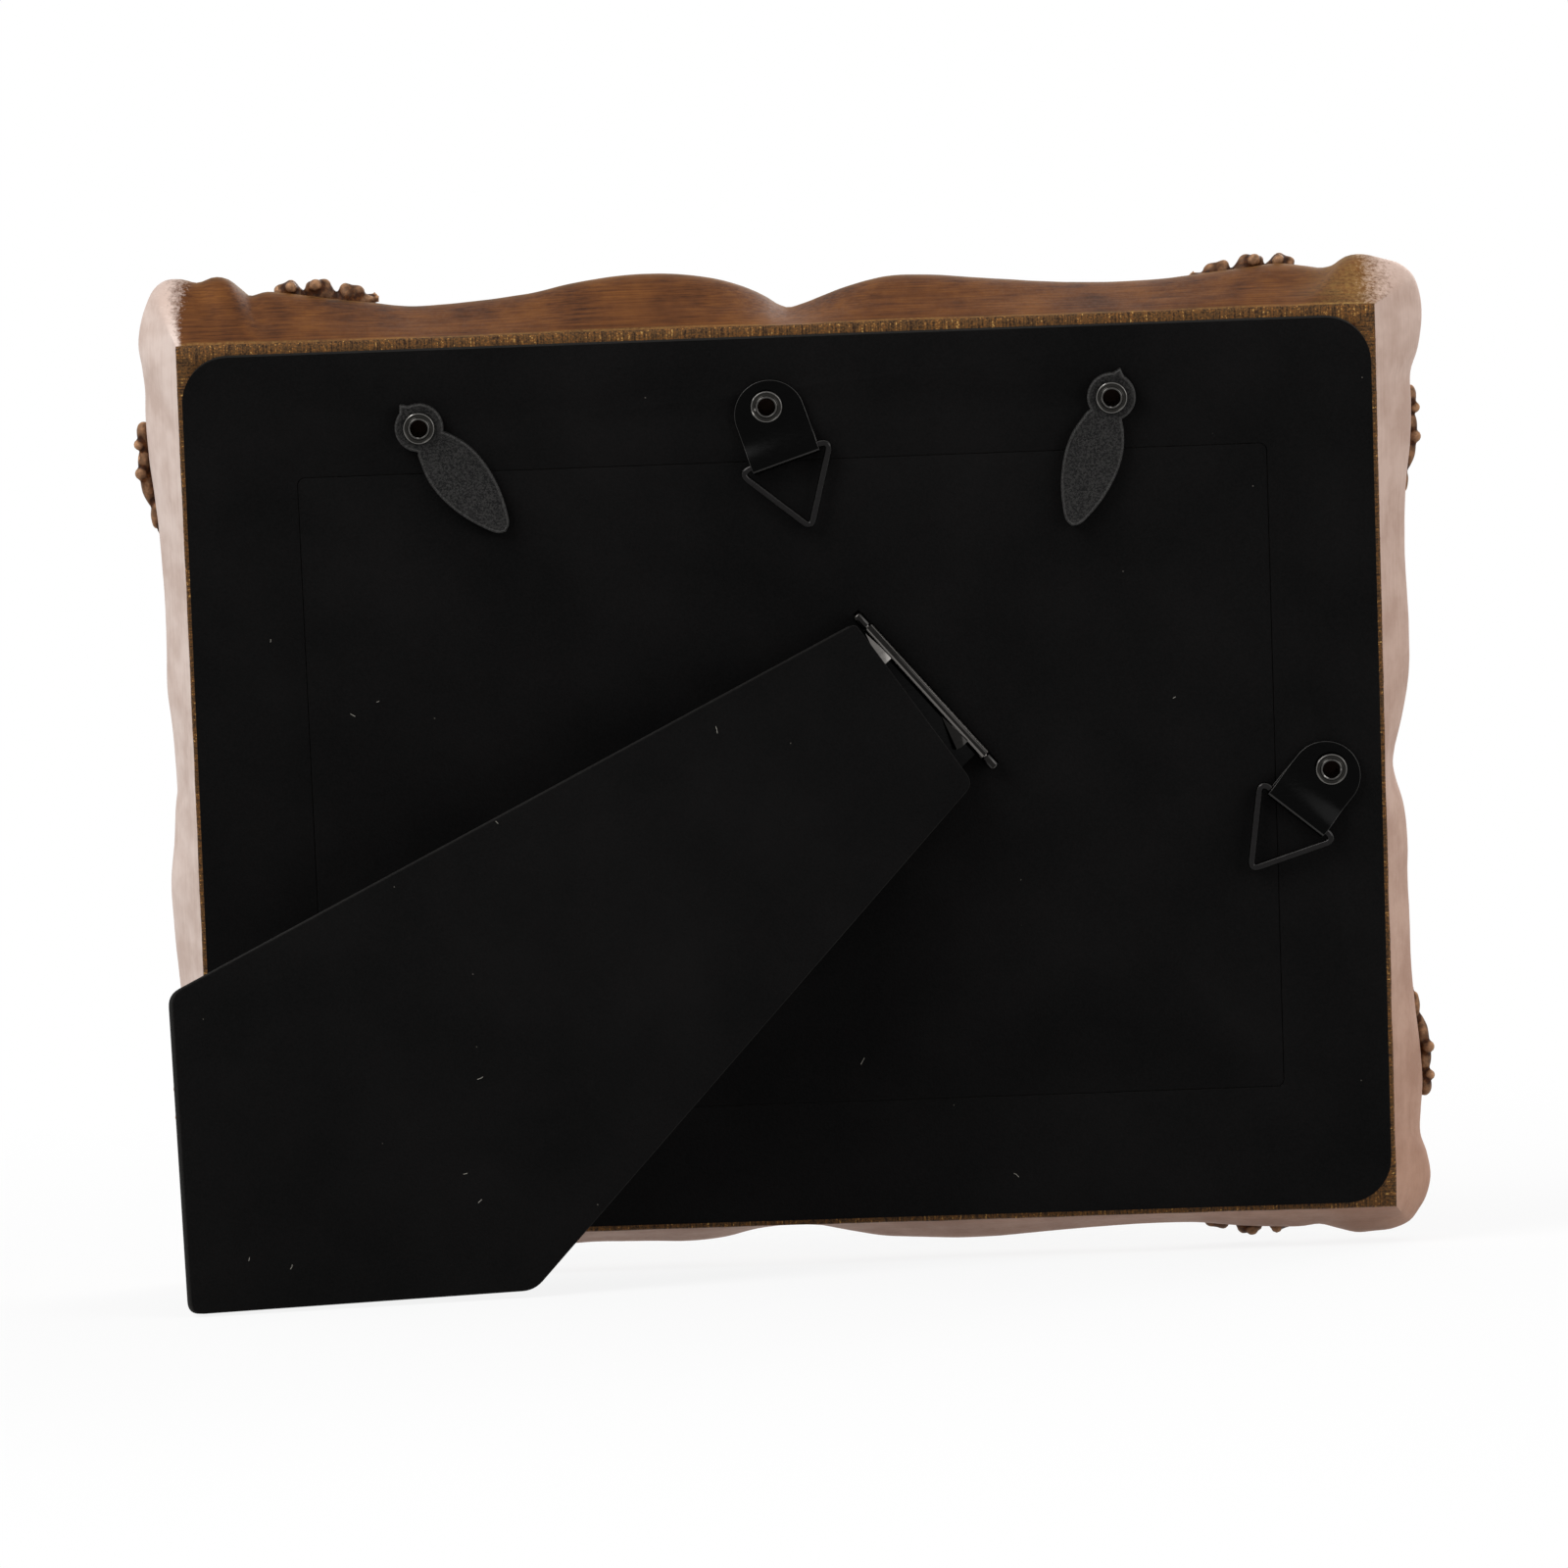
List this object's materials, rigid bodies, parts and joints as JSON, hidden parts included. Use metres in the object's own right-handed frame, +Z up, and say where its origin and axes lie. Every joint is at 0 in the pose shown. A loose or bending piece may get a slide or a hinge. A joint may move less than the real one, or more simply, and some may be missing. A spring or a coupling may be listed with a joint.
{
  "type": "picture frame",
  "caption": "Ornate landscape picture frame with scalloped garland moulding, velvet easel back, diagonal folding leg, turn buttons and triangular hanging rings.",
  "frame": {"origin": "on the surface that the frame stands on, under the middle of its box", "axes": "+Z up, the picture faces -Y, +X to the right as seen from the front; the frame leans back by 9.2 degrees"},
  "size_m": [0.2102, 0.0782, 0.1637],
  "materials": {
    "cast_resin": "antique bronze paint rubbed with champagne gold",
    "glass": "clear float glass",
    "insert_paper": "uncoated paper",
    "grey_card": "grey board",
    "fibreboard": "dark hardboard",
    "black_velvet": "flocked velvet",
    "black_paper": "matt black lining paper",
    "black_plastic": "moulded, lightly mottled",
    "black_steel": "black electroplated sheet and wire",
    "eyelet_steel": "gunmetal plated"
  },
  "bodies": {
    "frame": {"moulding_top": "cast_resin", "moulding_bottom": "cast_resin", "moulding_left": "cast_resin", "moulding_right": "cast_resin", "glass_pane": "glass", "print_insert": "insert_paper", "backing_card": "grey_card", "back_board": "fibreboard", "back_board_velvet": "black_velvet", "door_panel": "fibreboard", "door_velvet": "black_velvet", "turn_button_eyelet_left": "eyelet_steel", "turn_button_eyelet_right": "eyelet_steel", "hanger_eyelet_top": "eyelet_steel", "hanger_eyelet_side": "eyelet_steel", "hinge_leaf_door": "black_steel", "hinge_pin": "black_steel"},
    "leg": {"easel_leg": "fibreboard", "leg_velvet": "black_velvet", "leg_lining": "black_paper", "hinge_leaf_leg": "black_steel"},
    "left_button": {"turn_button_left": "black_plastic"},
    "right_button": {"turn_button_right": "black_plastic"},
    "top_strap": {"hanger_strap_top": "black_steel"},
    "top_ring": {"hanger_ring_top": "black_steel"},
    "side_strap": {"hanger_strap_side": "black_steel"},
    "side_ring": {"hanger_ring_side": "black_steel"}
  },
  "joints": [
    {"name": "leg_hinge", "type": "hinge", "parent": "frame", "child": "leg", "pos_m": [-0.0219, -0.00144, 0.09331], "axis": [0.6428, 0.122, 0.7563], "range_deg": [-20, 0]},
    {"name": "left_button_turn", "type": "hinge", "parent": "frame", "child": "left_button", "pos_m": [0.058, 0.00107, 0.1393], "axis": [0, 0.9872, -0.1593], "continuous": true},
    {"name": "right_button_turn", "type": "hinge", "parent": "frame", "child": "right_button", "pos_m": [-0.0533, 0.00121, 0.14019], "axis": [0, 0.9872, -0.1593], "continuous": true},
    {"name": "top_hanger_swivel", "type": "hinge", "parent": "frame", "child": "top_strap", "pos_m": [0.0021, 0.00129, 0.14068], "axis": [0, 0.9872, -0.1593], "continuous": true},
    {"name": "top_ring_swing", "type": "hinge", "parent": "top_strap", "child": "top_ring", "pos_m": [-0.00053, 0.00441, 0.13196], "axis": [0.9511, -0.0492, -0.3051], "range_deg": [-3, 160]},
    {"name": "side_hanger_swivel", "type": "hinge", "parent": "frame", "child": "side_strap", "pos_m": [-0.087, -0.00867, 0.07898], "axis": [0, 0.9872, -0.1593], "continuous": true},
    {"name": "side_ring_swing", "type": "hinge", "parent": "side_strap", "child": "side_ring", "pos_m": [-0.08152, -0.00529, 0.07182], "axis": [0.766, 0.1024, 0.6346], "range_deg": [-3, 160]}
  ]
}
